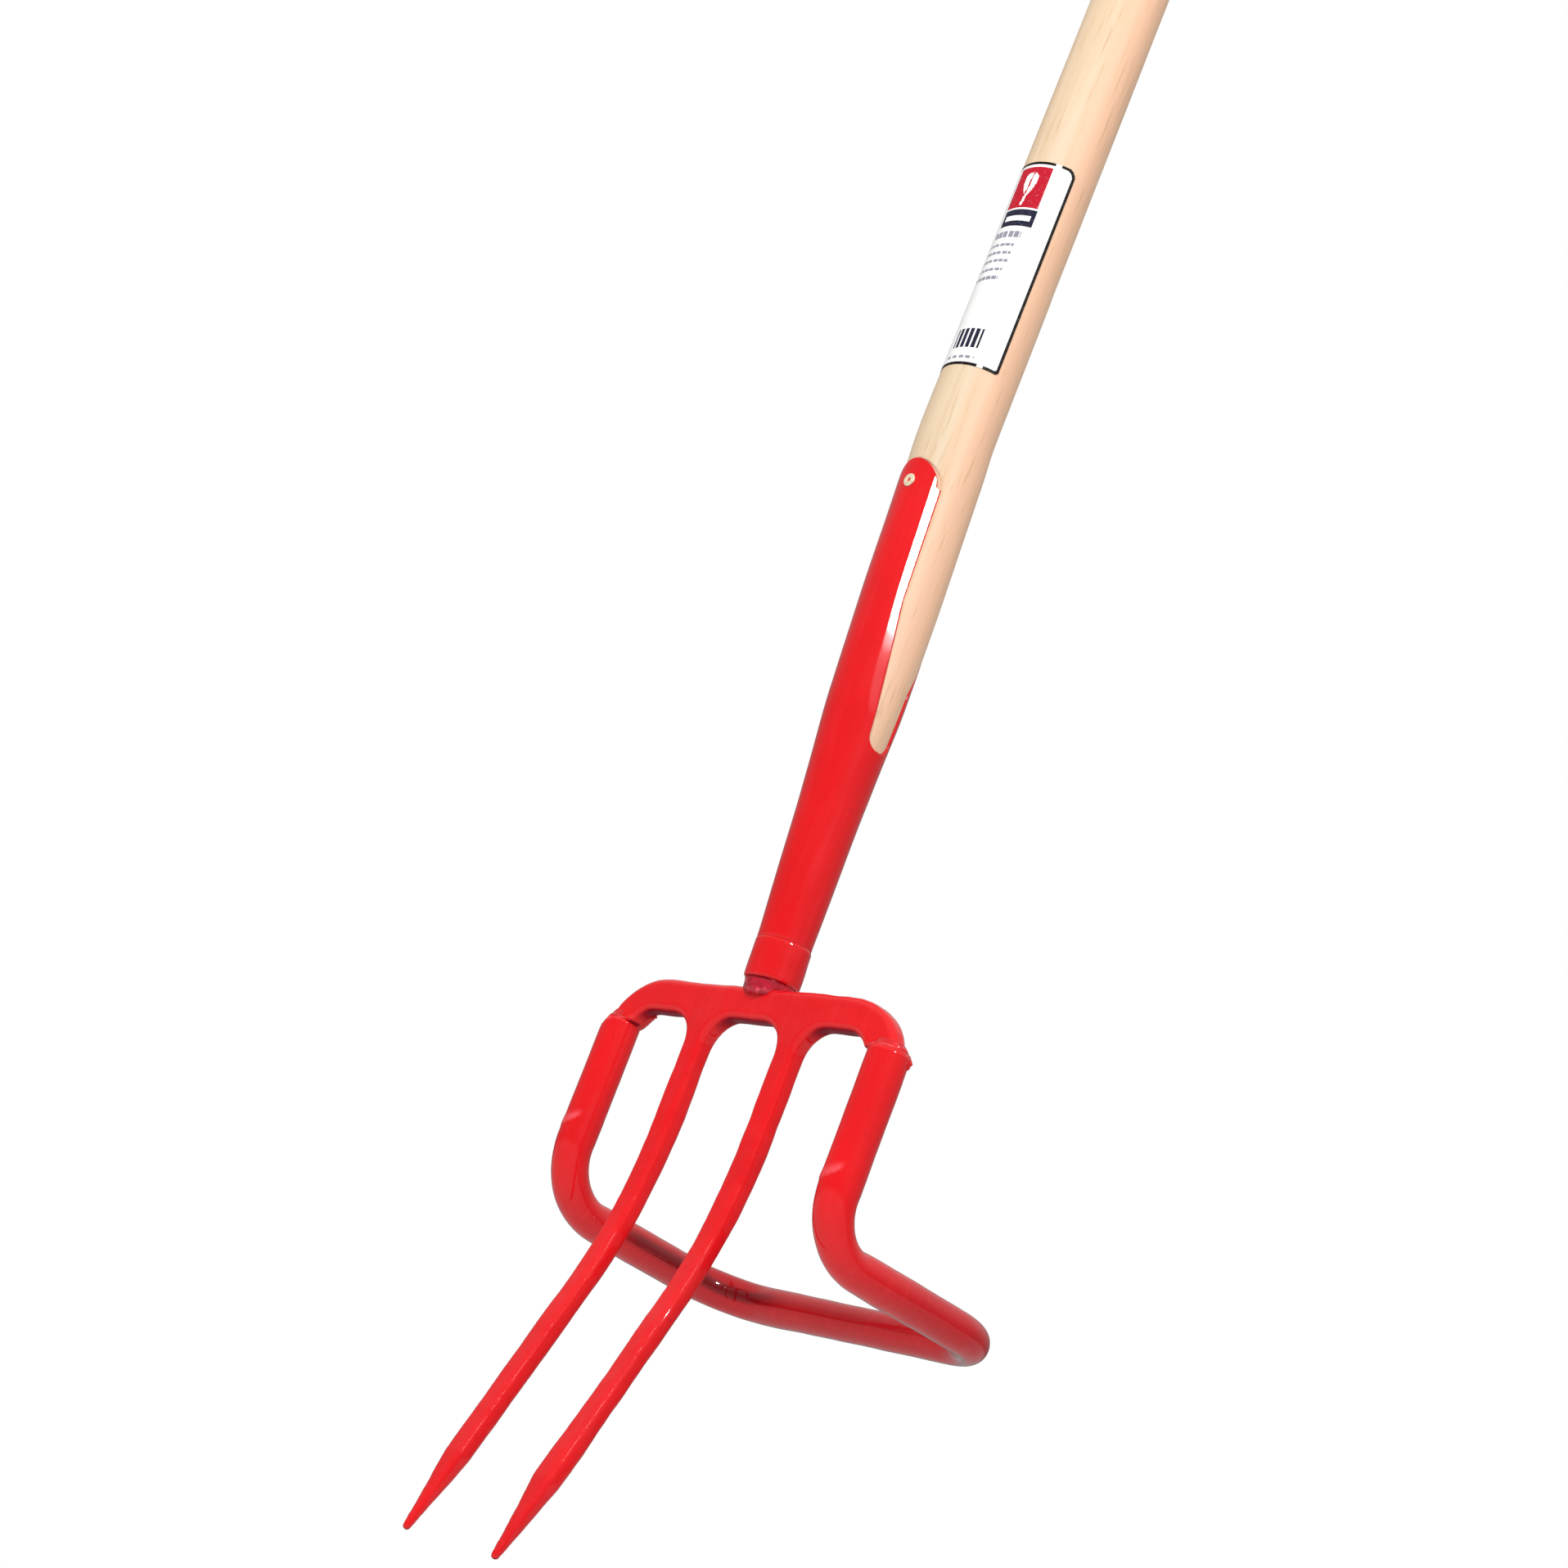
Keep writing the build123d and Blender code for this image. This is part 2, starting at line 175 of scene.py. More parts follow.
# --- materials ----------------------------------------------------------------------------------
class Shader:
    """Short way to write a node material."""

    def __init__(self, name):
        self.material = bpy.data.materials.new(name)
        self.material.use_nodes = True
        self.tree = self.material.node_tree
        self.tree.nodes.clear()
        self.output = self.tree.nodes.new("ShaderNodeOutputMaterial")
        self.bsdf = self.tree.nodes.new("ShaderNodeBsdfPrincipled")
        self.link(self.bsdf.outputs[0], self.output.inputs["Surface"])
        self.coords = self.tree.nodes.new("ShaderNodeTexCoord").outputs["Object"]

    def link(self, source, target):
        self.tree.links.new(source, target)

    def scaled(self, scale):
        """Object coordinates, stretched; scale is in cycles per metre."""
        mapping = self.tree.nodes.new("ShaderNodeMapping")
        mapping.inputs["Scale"].default_value = scale
        self.link(self.coords, mapping.inputs["Vector"])
        return mapping.outputs[0]

    def noise(self, scale, detail=3.0, roughness=0.5, distortion=0.0):
        node = self.tree.nodes.new("ShaderNodeTexNoise")
        self.link(self.scaled(scale), node.inputs["Vector"])
        node.inputs["Scale"].default_value = 1.0
        node.inputs["Detail"].default_value = detail
        node.inputs["Roughness"].default_value = roughness
        node.inputs["Distortion"].default_value = distortion
        return node.outputs["Fac"]

    def ramp(self, value, stops):
        node = self.tree.nodes.new("ShaderNodeValToRGB")
        elements = node.color_ramp.elements
        while len(elements) < len(stops):
            elements.new(0.5)
        for element, (place, colour) in zip(elements, stops):
            element.position = place
            element.color = (*colour, 1.0)
        self.link(value, node.inputs["Fac"])
        return node.outputs["Color"]

    def range(self, value, low, high, to_low, to_high):
        node = self.tree.nodes.new("ShaderNodeMapRange")
        self.link(value, node.inputs["Value"])
        for key, number in (("From Min", low), ("From Max", high), ("To Min", to_low), ("To Max", to_high)):
            node.inputs[key].default_value = number
        return node.outputs["Result"]

    def mix(self, factor, first, second):
        node = self.tree.nodes.new("ShaderNodeMix")
        node.data_type = "RGBA"
        for value, key in ((factor, 0), (first, 6), (second, 7)):
            if isinstance(value, bpy.types.NodeSocket):
                self.link(value, node.inputs[key])
            elif key == 0:
                node.inputs[key].default_value = value
            else:
                node.inputs[key].default_value = (*value, 1.0)
        return node.outputs[2]

    def bump(self, height, distance, strength, below=None):
        node = self.tree.nodes.new("ShaderNodeBump")
        node.inputs["Strength"].default_value = strength
        node.inputs["Distance"].default_value = distance
        self.link(height, node.inputs["Height"])
        if below is not None:
            self.link(below, node.inputs["Normal"])
        return node.outputs["Normal"]

    def set(self, **values):
        for key, value in values.items():
            target = self.bsdf.inputs[key.replace("_", " ")]
            if isinstance(value, bpy.types.NodeSocket):
                self.link(value, target)
            else:
                target.default_value = value


def cubic(scale):
    return (scale, scale, scale)


def red_paint(name, bright, deep, patches=26.0, rear_shade=None, below=None):
    """Thick enamel: soft colour patches, orange peel, a few dull specks, painted shade at the rear and
    underneath, a painted shade band, and lighter places: painted highlights at welds and bends, a random
    mottle on the neck weld.
    """
    s = Shader(name)
    patch = s.noise(cubic(patches), detail=3.0)
    base = s.mix(s.range(patch, 0.35, 0.7, 0.0, 1.0), bright, deep)
    # Painted shade: the paint darkens towards the back of the piece.
    if rear_shade is not None:
        place = s.tree.nodes.new("ShaderNodeSeparateXYZ")
        s.link(s.coords, place.inputs[0])
        base = s.mix(s.range(place.outputs["Y"], -0.040, 0.030, 0.0, 0.85), base, rear_shade)
    streak = s.noise((240.0, 240.0, 15.0), detail=2.0)
    base = s.mix(s.range(streak, 0.5, 0.75, 0.0, 0.13), base, (0.96, 0.045, 0.06))
    coat = 0.9
    # Painted shade: faces that point down are painted darker and lose most of their coat.
    if below is not None:
        facing = s.tree.nodes.new("ShaderNodeSeparateXYZ")
        s.link(s.tree.nodes.new("ShaderNodeTexCoord").outputs["Normal"], facing.inputs[0])
        base = s.mix(s.range(facing.outputs["Z"], -0.6, -0.95, 0.0, 0.9), base, below)
        coat = s.range(facing.outputs["Z"], -0.5, -0.85, 0.9, 0.04)
    # Painted shade: the attribute read here darkens a band on the hoop's left arm and crossbar.
    shade_band = s.tree.nodes.new("ShaderNodeAttribute")
    shade_band.attribute_name = "shade_band"
    base = s.mix(s.range(shade_band.outputs["Fac"], 0.0, 1.0, 0.0, 0.85), base, (0.16, 0.003, 0.007))
    speck = s.noise(cubic(520.0), detail=1.0)
    base = s.mix(s.range(speck, 0.70, 0.80, 0.0, 0.35), base, (0.28, 0.004, 0.006))
    # The attribute read here lightens the paint: painted highlights at welds and bends, random mottle on
    # the neck weld.
    wear = s.tree.nodes.new("ShaderNodeAttribute")
    wear.attribute_name = "rubbed_and_highlight"
    scratch = s.noise(cubic(140.0), detail=3.0)
    rubbed_and_highlight = s.tree.nodes.new("ShaderNodeMath")
    rubbed_and_highlight.operation = "MULTIPLY"
    s.link(wear.outputs["Fac"], rubbed_and_highlight.inputs[0])
    s.link(s.range(scratch, 0.3, 0.6, 0.45, 1.0), rubbed_and_highlight.inputs[1])
    base = s.mix(rubbed_and_highlight.outputs[0], base, HIGHLIGHT_AND_WORN_RED)
    peel = s.noise(cubic(330.0), detail=2.0)
    dull = s.noise(cubic(60.0), detail=4.0, roughness=0.6)
    s.set(
        Base_Color=base,
        Roughness=s.range(dull, 0.3, 0.7, 0.40, 0.52),
        Coat_Weight=coat,
        Coat_Roughness=0.06,
        Specular_IOR_Level=0.05,
        Normal=s.bump(peel, 0.0001, 0.25),
    )
    return s.material


def ash_wood(name):
    """Pale ash with long grain, short dark pore flecks, a few warm streaks and a painted shade in warm
    orange down its +X side.
    """
    s = Shader(name)
    streak = s.noise((95.0, 95.0, 3.2), detail=4.0, roughness=0.55, distortion=0.4)
    colour = s.ramp(
        streak, [(0.28, (0.698, 0.480, 0.291)), (0.5, (0.752, 0.572, 0.383)), (0.72, (0.800, 0.650, 0.480))]
    )
    broad = s.noise((26.0, 26.0, 1.4), detail=2.0)
    separate = s.tree.nodes.new("ShaderNodeSeparateXYZ")
    s.link(s.coords, separate.inputs[0])
    # Painted shade: the +X side of the shaft turns warm orange.
    side_shade = s.range(separate.outputs["X"], 0.012, 0.0195, 0.0, 0.9)
    colour = s.mix(side_shade, colour, (0.93, 0.55, 0.36))
    colour = s.mix(s.range(broad, 0.5, 0.75, 0.0, 0.35), colour, (0.87, 0.54, 0.33))
    pores = s.noise((620.0, 620.0, 30.0), detail=2.0, roughness=0.6)
    colour = s.mix(s.range(pores, 0.58, 0.72, 0.0, 0.5), colour, (0.60, 0.36, 0.18))
    fibre = s.noise((900.0, 900.0, 12.0), detail=2.0)
    s.set(
        Base_Color=colour,
        Roughness=s.range(streak, 0.3, 0.7, 0.42, 0.56),
        Specular_IOR_Level=0.35,
        Normal=s.bump(fibre, 0.00015, 0.25, s.bump(pores, 0.00018, 0.3)),
    )
    return s.material


def plated_steel(name):
    s = Shader(name)
    wear = s.noise(cubic(700.0), detail=3.0)
    colour = s.ramp(wear, [(0.3, (0.80, 0.62, 0.36)), (0.6, (0.98, 0.88, 0.66))])
    s.set(
        Base_Color=colour,
        Metallic=0.25,
        Roughness=s.range(wear, 0.3, 0.7, 0.30, 0.5),
        Normal=s.bump(wear, 0.00006, 0.4),
    )
    return s.material


def printed(name, ink):
    """Ink on label stock: slightly broken cover, paper fibre below."""
    s = Shader(name)
    cover = s.noise(cubic(900.0), detail=2.0)
    colour = s.mix(s.range(cover, 0.55, 0.8, 0.0, 0.12), ink, (0.90, 0.89, 0.86))
    fibre = s.noise(cubic(1500.0), detail=3.0)
    s.set(
        Base_Color=colour,
        Roughness=s.range(cover, 0.3, 0.7, 0.52, 0.62),
        Specular_IOR_Level=0.1,
        Normal=s.bump(fibre, 0.00004, 0.25),
    )
    return s.material


def label_stock(name):
    s = Shader(name)
    cloud = s.noise(cubic(70.0), detail=3.0)
    colour = s.mix(s.range(cloud, 0.35, 0.7, 0.0, 1.0), (0.95, 0.95, 0.94), (0.90, 0.90, 0.88))
    fibre = s.noise(cubic(1500.0), detail=3.0)
    s.set(
        Base_Color=colour,
        Roughness=s.range(cloud, 0.3, 0.7, 0.40, 0.5),
        Coat_Weight=0.15,
        Normal=s.bump(fibre, 0.00004, 0.25),
    )
    return s.material


HIGHLIGHT_AND_WORN_RED = (0.98, 0.10, 0.12)
BRIGHT_RED = (0.88, 0.007, 0.011)
DEEP_RED = (0.80, 0.007, 0.011)
# The head's down-facing faces get painted shade.
head_paint = red_paint("head_enamel", BRIGHT_RED, DEEP_RED, below=(0.15, 0.005, 0.018))
# The hoop paint darkens towards its rear crossbar as painted shade.
hoop_paint = red_paint("hoop_enamel", BRIGHT_RED, DEEP_RED, 18.0, rear_shade=(0.56, 0.008, 0.014))
socket_paint = red_paint("socket_enamel", (0.81, 0.0065, 0.010), (0.74, 0.0065, 0.010), 22.0)
# Darker copy of the enamel for the weld beads, a painted shade that keeps their up-facing slopes from
# lighting up more than the tubes.
weld_shaded_paint = red_paint("weld_shaded_enamel", (0.74, 0.007, 0.011), (0.58, 0.006, 0.010), 60.0)
neck_paint = red_paint("neck_enamel", (0.66, 0.012, 0.040), (0.30, 0.008, 0.022), 110.0)


# --- forged head --------------------------------------------------------------------------------
head = remeshed_copy(
    "fork_head", "forged_head", 1.0, [(0.42, 22.0, 1), (0.16, 7.0, 2)], swell=0.35
)
head.data.materials.append(head_paint)


def reshape(piece, change):
    """Moves the vertices of a piece; change takes and returns a point of the head frame."""
    to_head = HEAD_FRAME.inverted()
    for vertex in piece.data.vertices:
        vertex.co = HEAD_FRAME @ (change(to_head @ vertex.co / MM) * MM)


SHOULDER_CENTRE = (68.5, -13.3)
SHOULDER_DRAWN_OUT = (
    [20.0, 30.0, 40.0, 53.0, 66.0, 78.0, 90.0, 100.0],
    [3.0, 3.0, 2.4, 1.1, 0.0, -0.7, -0.5, 0.0],
)


def fuller_shoulder(point):
    """The right shoulder is drawn out further to the side than the left one."""
    across, up = point.x - SHOULDER_CENTRE[0], point.z - SHOULDER_CENTRE[1]
    reach = sqrt(across**2 + up**2)
    if across < -10 or up < 0:
        return point
    out = np.interp(degrees(atan2(up, across)), *SHOULDER_DRAWN_OUT)
    out *= float(smoothstep(18, 32, reach)) / max(reach, 1.0)
    return point + Vector((across * out, 0, up * out))


CHAMFER_POINT = Vector((-103.7, -6.5, -8.2))
CHAMFER_NORMAL = Vector((-0.594, -0.675, 0.435)).normalized()


def chamfered(point):
    """Trims the outer corner where the left weld runs from the shoulder down to the tube."""
    over = (point - CHAMFER_POINT).dot(CHAMFER_NORMAL)
    if over <= 0 or point.x > -80:
        return point
    return point - CHAMFER_NORMAL * over * (1 - float(smoothstep(2, 6, point.z)))


# Painted glints: small spots painted lighter on the right weld and the right shoulder.
PAINTED_GLINT_SPOTS = [
    (Vector((107.0, -0.9, -5.0)), 1.3),
    (Vector((109.0, 3.2, -5.4)), 0.9),
    (Vector((102.6, 3.0, 4.4)), 1.6),
]


def weld_highlight(point):
    """Share of the painted highlight along the top edge of the weld round the front of both ends of the
    hoop, and of the painted glint spots.
    """
    spot = max(1.5 - (point - centre).length / radius for centre, radius in PAINTED_GLINT_SPOTS)
    ridge = 0.0
    if point.y < 5 and abs(point.x) > 84 and point.z > -8:
        if point.x < 0:
            height = -4.0 + 0.36 * max(0.0, point.x + 95.0)
        else:
            height = -2.6 + 0.1 * (point.x - 88.0)
        patchy = 0.55 + 0.8 * hammered(tuple(point), 3.0, 31)
        ridge = 1.4 - abs(point.z - height) / 0.6
        ridge = float(np.clip(ridge, 0, 1) * np.clip(patchy, 0.0, 1))
    return max(ridge, min(1.0, spot), 0.0)


def add_paint_mask(piece, values, kind="rubbed_and_highlight"):
    wear = piece.data.attributes.new(kind, "FLOAT", "POINT")
    wear.data.foreach_set("value", [float(value) for value in values])


def paint_weld_highlight(piece):
    to_head = HEAD_FRAME.inverted()
    add_paint_mask(piece, [weld_highlight(to_head @ vertex.co / MM) for vertex in piece.data.vertices])


TINE_CENTRE = 33.0
TINE_INNER_EDGE = 15.0
POINT_START = -235.0
POINT_BULGE = 1.5


def broader_point(point):
    """The right tine's point starts wider on its inner side."""
    inner = np.clip((TINE_CENTRE - point.x) / 6.0, 0, 1)
    near = np.clip(1 - abs(point.z - POINT_START) / 24.0, 0, 1)
    if point.x < TINE_INNER_EDGE:
        return point
    return point - Vector((POINT_BULGE * float(inner * near**2 * (3 - 2 * near)), 0, 0))


reshape(head, fuller_shoulder)
reshape(head, chamfered)
reshape(head, broader_point)
paint_weld_highlight(head)


# --- hoop ---------------------------------------------------------------------------------------
HOOP_HALF_WIDTH = 97.4
HOOP_TOP = -2.5
HOOP_LEG = 98.8
HOOP_DEPTH = 132.5
HOOP_DROP = 3.2
HOOP_BEND_RADII = (32.0, 34.0, 34.0, 28.5)
LEFT_MARK_PLACE, RIGHT_MARK_PLACE = 59.5, 66.0
TUBE_RADII = (
    [0.0, 60.0, 110.0, 180.0, 245.0, 285.0, 350.0, 380.0, 420.0, 470.0, 505.0, 530.0, 600.0],
    [9.85, 9.85, 9.75, 9.85, 9.85, 9.4, 9.4, 9.6, 9.8, 9.95, 9.55, 10.3, 10.35],
)
TUBE_COLUMNS = 64


def rounded_path(corners, radii, step):
    """Even points along straight runs joined by arcs."""
    corners = [Vector(c) for c in corners]
    points = []
    start = corners[0]
    for before, corner, after, radius in zip(corners, corners[1:], corners[2:], radii):
        inward = (before - corner).normalized()
        outward = (after - corner).normalized()
        half_angle = inward.angle(outward) / 2
        reach = radius / sin(half_angle) * cos(half_angle)
        entry, leave = corner + inward * reach, corner + outward * reach
        centre = corner + (inward + outward).normalized() * radius / sin(half_angle)
        runs = max(2, round((entry - start).length / step))
        points += [start.lerp(entry, k / runs) for k in range(runs)]
        arm_in, arm_out = entry - centre, leave - centre
        turn = arm_in.angle(arm_out)
        runs = max(6, round(radius * turn / step))
        axis = arm_in.cross(arm_out).normalized()
        points += [centre + Matrix.Rotation(turn * k / runs, 3, axis) @ arm_in for k in range(runs)]
        start = leave
    runs = max(2, round((corners[-1] - start).length / step))
    points += [start.lerp(corners[-1], k / runs) for k in range(runs + 1)]
    return points


def hoop_piece():
    rear_z = -HOOP_LEG - HOOP_DROP
    left, right = -HOOP_HALF_WIDTH, HOOP_HALF_WIDTH
    corners = [
        (left + 1.6, 0, HOOP_TOP),
        (left + 1.2, 0, -HOOP_LEG),
        (left + 0.6, HOOP_DEPTH, rear_z),
        (right + 1.0, HOOP_DEPTH + 2.0, rear_z + 0.3),
        (right + 0.3, 0, -HOOP_LEG - 0.5),
        (right + 1.0, 0, HOOP_TOP),
    ]
    path = rounded_path(corners, HOOP_BEND_RADII, 1.6)
    count = len(path)
    coords = np.array(path)
    tangents = np.gradient(coords, axis=0)
    tangents /= np.linalg.norm(tangents, axis=1)[:, None]
    lengths = np.concatenate([[0], np.cumsum(np.linalg.norm(np.diff(coords, axis=0), axis=1))])
    total = lengths[-1]
    bending = np.gradient(tangents, axis=0) / np.gradient(lengths)[:, None] * max(HOOP_BEND_RADII)
    for _ in range(10):
        bending[1:-1] = (bending[:-2] + bending[1:-1] * 2 + bending[2:]) / 4
    tube_radius = eased(*TUBE_RADII)
    side = Vector((0, -1, 0))
    verts, rubbed_and_highlight, shade_band_values = [], [], []
    for i in range(count):
        tangent = Vector(tangents[i])
        side = (side - tangent * side.dot(tangent)).normalized()
        other = tangent.cross(side)
        centre = coords[i]
        along = lengths[i]
        plain_radius = tube_radius(along)
        for j in range(TUBE_COLUMNS):
            angle = 2 * pi * j / TUBE_COLUMNS
            radial = side * cos(angle) + other * sin(angle)
            pull = Vector(bending[i]).dot(radial)
            radius = plain_radius - 0.4 * pull**2
            radius += 0.16 * hammered(centre + np.array(radial) * 9, 16.0, 3)
            radius += 0.05 * hammered(centre + np.array(radial) * 9, 5.0, 4)
            mark = bend_mark(along, radial, LEFT_MARK_PLACE)
            mark += bend_mark(total - along, radial, RIGHT_MARK_PLACE)
            verts.append(chamfered(Vector(centre) + radial * (radius + 0.35 * mark)))
            # Painted highlights on the bend marks and the weld edges; painted shade band on the left arm
            # and crossbar.
            rubbed_and_highlight.append(max(mark, weld_highlight(verts[-1])))
            shade_band_values.append(painted_shade_band(along, radial))
    faces = grid_faces(count, TUBE_COLUMNS)
    faces.append(cap_face(0, TUBE_COLUMNS, True))
    faces.append(cap_face((count - 1) * TUBE_COLUMNS, TUBE_COLUMNS, False))
    piece = add_mesh("bent_hoop_tube", verts, faces, ["fulcrum_hoop"], HEAD_FRAME)
    add_paint_mask(piece, rubbed_and_highlight)
    add_paint_mask(piece, shade_band_values, "shade_band")
    return piece


def painted_shade_band(along, radial):
    """Painted shade: a dark band on the upper front of the left arm and the crossbar."""
    reach = float(smoothstep(112, 140, along)) * (1 - 0.75 * float(smoothstep(225, 262, along)))
    reach *= 1 - float(smoothstep(330, 400, along))
    up = radial.x * 0.30 - radial.y * 0.30 + radial.z * 0.90
    front = radial.x * 0.74 - radial.y * 0.60 - radial.z * 0.31
    band = float(smoothstep(-0.05, 0.25, up)) * (1 - float(smoothstep(0.55, 0.85, up)))
    return reach * band * float(smoothstep(0.0, 0.3, front))


def bend_mark(along, radial, place):
    """Lens-shaped bulge where the bending tool held the leg, with its sharper edge below; the same share
    paints it lighter as a painted highlight.
    """
    facing = radial.x * -0.66 + radial.y * -0.75
    if along > 110 or facing < 0:
        return 0.0
    low = place + 0.8 - 8.0 * (1 - facing)
    high = low - 1.5 - 4.5 * facing
    rise = float(smoothstep(high - 1.5, low - 1.0, along))
    fall = 1 - float(smoothstep(low - 0.6, low + 0.6, along))
    return rise * fall * float(smoothstep(0.1, 0.45, facing))


hoop = hoop_piece()
hoop.data.materials.append(hoop_paint)


# --- welds --------------------------------------------------------------------------------------
def head_point(x, y, z):
    return np.array(HEAD_FRAME @ Vector((x * MM, y * MM, z * MM))) / MM


LEFT_FILLET = [
    (head_point(-HOOP_HALF_WIDTH + 7.6 + 2.2 * k, 4.0, -1.4 + 1.0 * k), 3.4 - 0.45 * k)
    for k in range(6)
]
RIGHT_WEDGE = [
    (head_point(HOOP_HALF_WIDTH + 0.9, 6.0, 0.6), 3.2),
    (head_point(HOOP_HALF_WIDTH + 3.4, 6.0, -1.3), 3.0),
    (head_point(HOOP_HALF_WIDTH + 6.1, 6.0, -3.1), 2.6),
    (head_point(HOOP_HALF_WIDTH + 8.5, 6.0, -4.3), 1.9),
    (head_point(HOOP_HALF_WIDTH + 10.3, 6.0, -5.0), 1.2),
    (head_point(HOOP_HALF_WIDTH + 5.6, 1.5, -3.0), 2.8),
    (head_point(HOOP_HALF_WIDTH + 8.4, 3.5, -4.6), 1.9),
    (head_point(HOOP_HALF_WIDTH + 9.2, 5.8, -7.0), 1.6),
]

for side_name, blobs, seed in (("left", LEFT_FILLET, 5), ("right", RIGHT_WEDGE, 6)):
    bead = remeshed_copy(
        side_name + "_hoop_weld",
        side_name + "_weld_bead",
        0.45,
        [(0.4, 6.0, seed), (0.2, 2.4, seed + 2)],
        blobs,
        smooth_rounds=4,
    )
    bead.data.materials.append(weld_shaded_paint)
    if side_name == "left":
        bead.data.transform(Matrix.Translation((1.4 * MM, 0, 0)))
    reshape(bead, chamfered)
    paint_weld_highlight(bead)

neck_bead = remeshed_copy(
    "neck_weld", "neck_weld_bead", 0.5, [(0.9, 8.0, 9), (0.35, 3.0, 10)], smooth_rounds=2
)
neck_bead.data.materials.append(neck_paint)
add_paint_mask(
    neck_bead,
    [0.9 * smoothstep(0.1, 0.6, hammered(vertex.co / MM, 3.5, 17)) for vertex in neck_bead.data.vertices],
)

collar = remeshed_copy(
    "socket_collar", "neck_ring", 0.6, [(0.2, 9.0, 11)], smooth_rounds=5, swell=0.35
)
collar.data.transform(Matrix.Translation((0.3 * MM, 0, 0)))
collar.data.materials.append(socket_paint)

rivet = remeshed_copy("strap_rivet", "tubular_rivet", 0.28, [(0.05, 1.5, 14)], smooth_rounds=1)
rivet.data.transform(Matrix.Translation((0.6 * MM, 0, 0)))
rivet.data.materials.append(plated_steel("rivet_plating"))


# --- socket -------------------------------------------------------------------------------------
SLOT_FOOT = 130.0
SLOT_FOOT_RADIUS = 7.0
SLOT_FRONT = ([SLOT_FOOT, 208.0], [-5.7, -12.4])
SLOT_BACK = ([SLOT_FOOT, 165.0, 192.0], [9.8, 9.8, 18.3])
STRAP_CENTRE = 270.0
STRAP_HALF_WIDTH = 15.0
STRAP_TOP = STRAP_CENTRE + STRAP_HALF_WIDTH
FACET_ANGLE = radians(61.3)
FACET_DISTANCE = 19.25
SOCKET_WALL = 2.4
SOCKET_LINE = ([24.8, 98.0, 152.0, 215.0, 300.0], [13.5, 16.4, 19.6, 20.8, 21.1])

socket_radius = eased(*SOCKET_LINE)


def slot_span(height, radius, gap=0.0):
    """Angles from the front between which the side slot lies, narrowed by a gap."""
    front = np.interp(height, *SLOT_FRONT)
    back = np.interp(height, *SLOT_BACK)
    rise = max(0.0, height - SLOT_FOOT)
    if rise < SLOT_FOOT_RADIUS:
        corner = SLOT_FOOT_RADIUS - sqrt(SLOT_FOOT_RADIUS**2 - (SLOT_FOOT_RADIUS - rise) ** 2)
        front, back = front + corner, back - corner
    first = pi / 2 + np.arcsin(np.clip((front + gap) / radius, -1, 1))
    last = pi / 2 + np.arcsin(np.clip((back - gap) / radius, -1, 1))
    if height > STRAP_CENTRE:
        reach = sqrt(max(0.0, (STRAP_HALF_WIDTH + gap) ** 2 - (height - STRAP_CENTRE) ** 2))
        limit = np.arcsin(np.clip(reach / radius, 0.002, 1))
        first = min(first, limit)
        last = max(last, pi - limit)
    return float(first), float(last)


def socket_point(height, angle, inset):
    """Point of the outer surface, sunk by inset, with the flat sides of the front strap."""
    radius = socket_radius(height)
    off_facet = abs(min(angle % (2 * pi), -angle % (2 * pi)) - FACET_ANGLE)
    if off_facet < 0.6:
        radius = min(radius, FACET_DISTANCE / cos(off_facet))
    unit = np.array([sin(angle), -cos(angle), 0.0])
    radius += 0.35 * float(1 - smoothstep(40, 130, height))
    radius += 0.12 * hammered(unit * 18 + np.array([0, 0, height * 0.6]), 16.0, 12) - inset
    return tuple(unit * radius + np.array([0, 0, height]))


def strap_row(height, front):
    """Angles and insets across one strap, from its left inner edge to its right inner edge."""
    radius = socket_radius(height)
    first, last = slot_span(height, radius)
    half = first if front else pi - last
    middle = 0.0 if front else pi
    soft = min(0.35 / radius, half * 0.3)
    crease = half * 0.6
    if front:
        facet_half = np.arccos(np.clip(FACET_DISTANCE / radius, -1, 1))
        crease = min(FACET_ANGLE - facet_half, half * 0.9)
    right = list(np.linspace(0, crease - soft, 12)) + [crease, crease + soft]
    right += list(np.linspace(crease + soft, half - soft, 8))[1:]
    row = [(angle, 0.0) for angle in right] + [(half, 0.3), (half, SOCKET_WALL)]
    mirrored = [(-angle, inset) for angle, inset in reversed(row[1:])]
    return [(middle + angle, inset) for angle, inset in mirrored + row]


def socket_piece():
    verts, faces = [], []

    def patch(rows, closed):
        start = len(verts)
        for height, row in rows:
            verts.extend(socket_point(height, angle, inset) for angle, inset in row)
        columns = len(rows[0][1])
        faces.extend(tuple(start + k for k in face) for face in grid_faces(len(rows), columns, closed))
        return start, columns

    ring = list(np.linspace(0, 2 * pi, 97)[:-1])
    neck = socket_radius(24.9) - 12.6
    low_rows = [(height, [(angle, neck) for angle in ring]) for height in (4.5, 24.6)]
    low_rows += [(24.8, [(angle, 0.3) for angle in ring])]
    low_rows += [(height, [(angle, 0.0) for angle in ring]) for height in np.linspace(25.1, SLOT_FOOT, 60)]
    start, columns = patch(low_rows, True)
    faces.append(cap_face(start, columns, True))
    patch([(SLOT_FOOT, [(angle, inset) for angle in ring]) for inset in (0.0, SOCKET_WALL)], True)
    heights = list(SLOT_FOOT + 8.0 * np.linspace(0, 1, 22) ** 2) + list(np.arange(140.0, 266.0, 1.6))
    heights += list(STRAP_TOP - 19.0 * np.linspace(1, 0.01, 40) ** 2)
    for front in (True, False):
        patch([(height, strap_row(height, front)) for height in heights], False)
    return add_mesh("strapped_socket", verts, faces, ["socket"], SOCKET_FRAME)


straps = socket_piece()
straps.data.materials.append(socket_paint)


